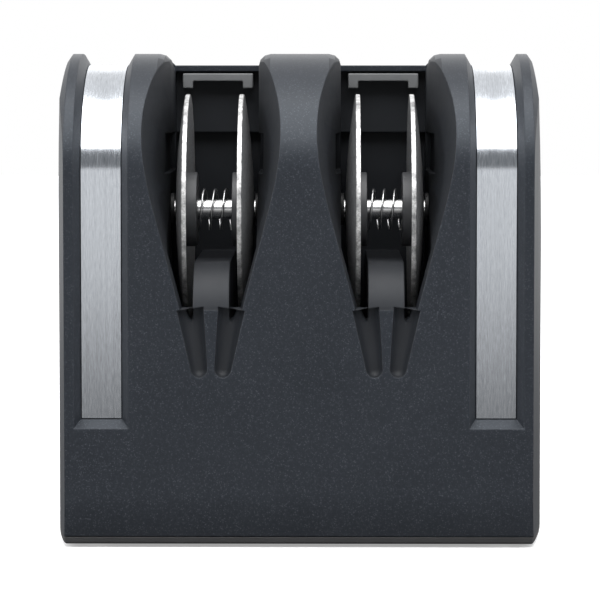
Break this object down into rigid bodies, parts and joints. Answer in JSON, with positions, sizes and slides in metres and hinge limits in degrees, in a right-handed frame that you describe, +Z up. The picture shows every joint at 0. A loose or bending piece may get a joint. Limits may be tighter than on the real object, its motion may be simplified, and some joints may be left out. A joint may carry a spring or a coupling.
{
  "type": "electric knife sharpener",
  "caption": "Free-standing electric knife sharpener: arched black body, two V mouths with paired grinding discs.",
  "frame": {"origin": "middle of the bounding box's underside, on the table between the feet", "axes": "+X to the right of a user facing the knife mouths, +Y to the rear, +Z up"},
  "size_m": [0.1324, 0.113, 0.1293],
  "materials": {
    "shell_black": "matte with fine sparkle",
    "steel_brushed": "vertical brushed grain",
    "steel_bright": "ground bright",
    "steel_plated": "zinc plated",
    "disc_grit": "grit coated, bright edge",
    "plastic_grey": "satin",
    "plastic_black": "satin",
    "plastic_natural": "satin",
    "plastic_dark": "satin",
    "rubber_black": "matte",
    "bronze": "sintered",
    "copper": "lacquered wire",
    "ferrite": "matte",
    "carbon": "matte",
    "board_green": "solder mask"
  },
  "bodies": {
    "housing": {"front_cover": "shell_black", "rear_cover": "shell_black", "base_plate": "plastic_black", "trim_strip_left": "steel_brushed", "trim_strip_right": "steel_brushed", "knife_guard_left": "plastic_grey", "knife_guard_right": "plastic_grey", "cover_screws": "steel_plated", "base_screws": "steel_plated", "rubber_feet": "rubber_black", "chassis": "plastic_grey", "shaft_bearings": "bronze", "chute_magnets": "ferrite", "drive_belt": "rubber_black", "motor_can": "steel_plated", "motor_end_cap": "plastic_black", "motor_magnets": "ferrite", "motor_bushes": "bronze", "carbon_brushes": "carbon", "motor_straps": "steel_plated", "strap_screws": "steel_plated", "control_board": "board_green", "capacitor": "plastic_black", "rectifier": "plastic_black", "choke": "copper", "terminal_block": "plastic_natural", "switch_housing": "plastic_black", "cord_inlet": "rubber_black"},
    "grinding_shaft": {"drive_shaft": "steel_bright", "shaft_pulley": "plastic_black", "shaft_spacers": "plastic_black", "shaft_clips": "steel_plated", "disc_spring_left": "steel_bright", "disc_spring_right": "steel_bright"},
    "disc_1": {"grinding_disc_1": "disc_grit", "disc_hub_1": "plastic_dark"},
    "disc_2": {"grinding_disc_2": "disc_grit", "disc_hub_2": "plastic_dark"},
    "disc_3": {"grinding_disc_3": "disc_grit", "disc_hub_3": "plastic_dark"},
    "disc_4": {"grinding_disc_4": "disc_grit", "disc_hub_4": "plastic_dark"},
    "motor_rotor": {"motor_shaft": "steel_bright", "armature": "steel_plated", "armature_windings": "copper", "commutator": "copper", "motor_pulley": "plastic_natural", "cooling_fan": "plastic_natural"},
    "rocker": {"switch_rocker": "plastic_black"},
    "door": {"filings_door": "plastic_black"}
  },
  "joints": [
    {"name": "shaft_spin", "type": "hinge", "parent": "housing", "child": "grinding_shaft", "pos_m": [0, -0.021, 0.0874], "axis": [1, 0, 0], "continuous": true},
    {"name": "disc_1_give", "type": "slide", "parent": "grinding_shaft", "child": "disc_1", "axis": [1, 0, 0], "range_m": [0, 0.0015], "stiffness_N_per_m": 900, "springref_m": -0.001, "deforming": ["disc_spring_left"]},
    {"name": "disc_2_give", "type": "slide", "parent": "grinding_shaft", "child": "disc_2", "axis": [-1, 0, 0], "range_m": [0, 0.0015], "stiffness_N_per_m": 900, "springref_m": -0.001, "deforming": ["disc_spring_left"]},
    {"name": "disc_3_give", "type": "slide", "parent": "grinding_shaft", "child": "disc_3", "axis": [1, 0, 0], "range_m": [0, 0.0015], "stiffness_N_per_m": 900, "springref_m": -0.001, "deforming": ["disc_spring_right"]},
    {"name": "disc_4_give", "type": "slide", "parent": "grinding_shaft", "child": "disc_4", "axis": [-1, 0, 0], "range_m": [0, 0.0015], "stiffness_N_per_m": 900, "springref_m": -0.001, "deforming": ["disc_spring_right"]},
    {"name": "motor_spin", "type": "hinge", "parent": "housing", "child": "motor_rotor", "pos_m": [0, 0.0015, 0.0285], "axis": [1, 0, 0], "continuous": true},
    {"name": "rocker_tip", "type": "hinge", "parent": "housing", "child": "rocker", "pos_m": [0.036, 0.0525, 0.026], "axis": [1, 0, 0], "range_deg": [0, 16]},
    {"name": "door_slide", "type": "slide", "parent": "housing", "child": "door", "axis": [0, 1, 0], "range_m": [0, 0.02]}
  ],
  "couplings": [
    {"joint": "motor_spin", "follows": "shaft_spin", "ratio": 2}
  ]
}
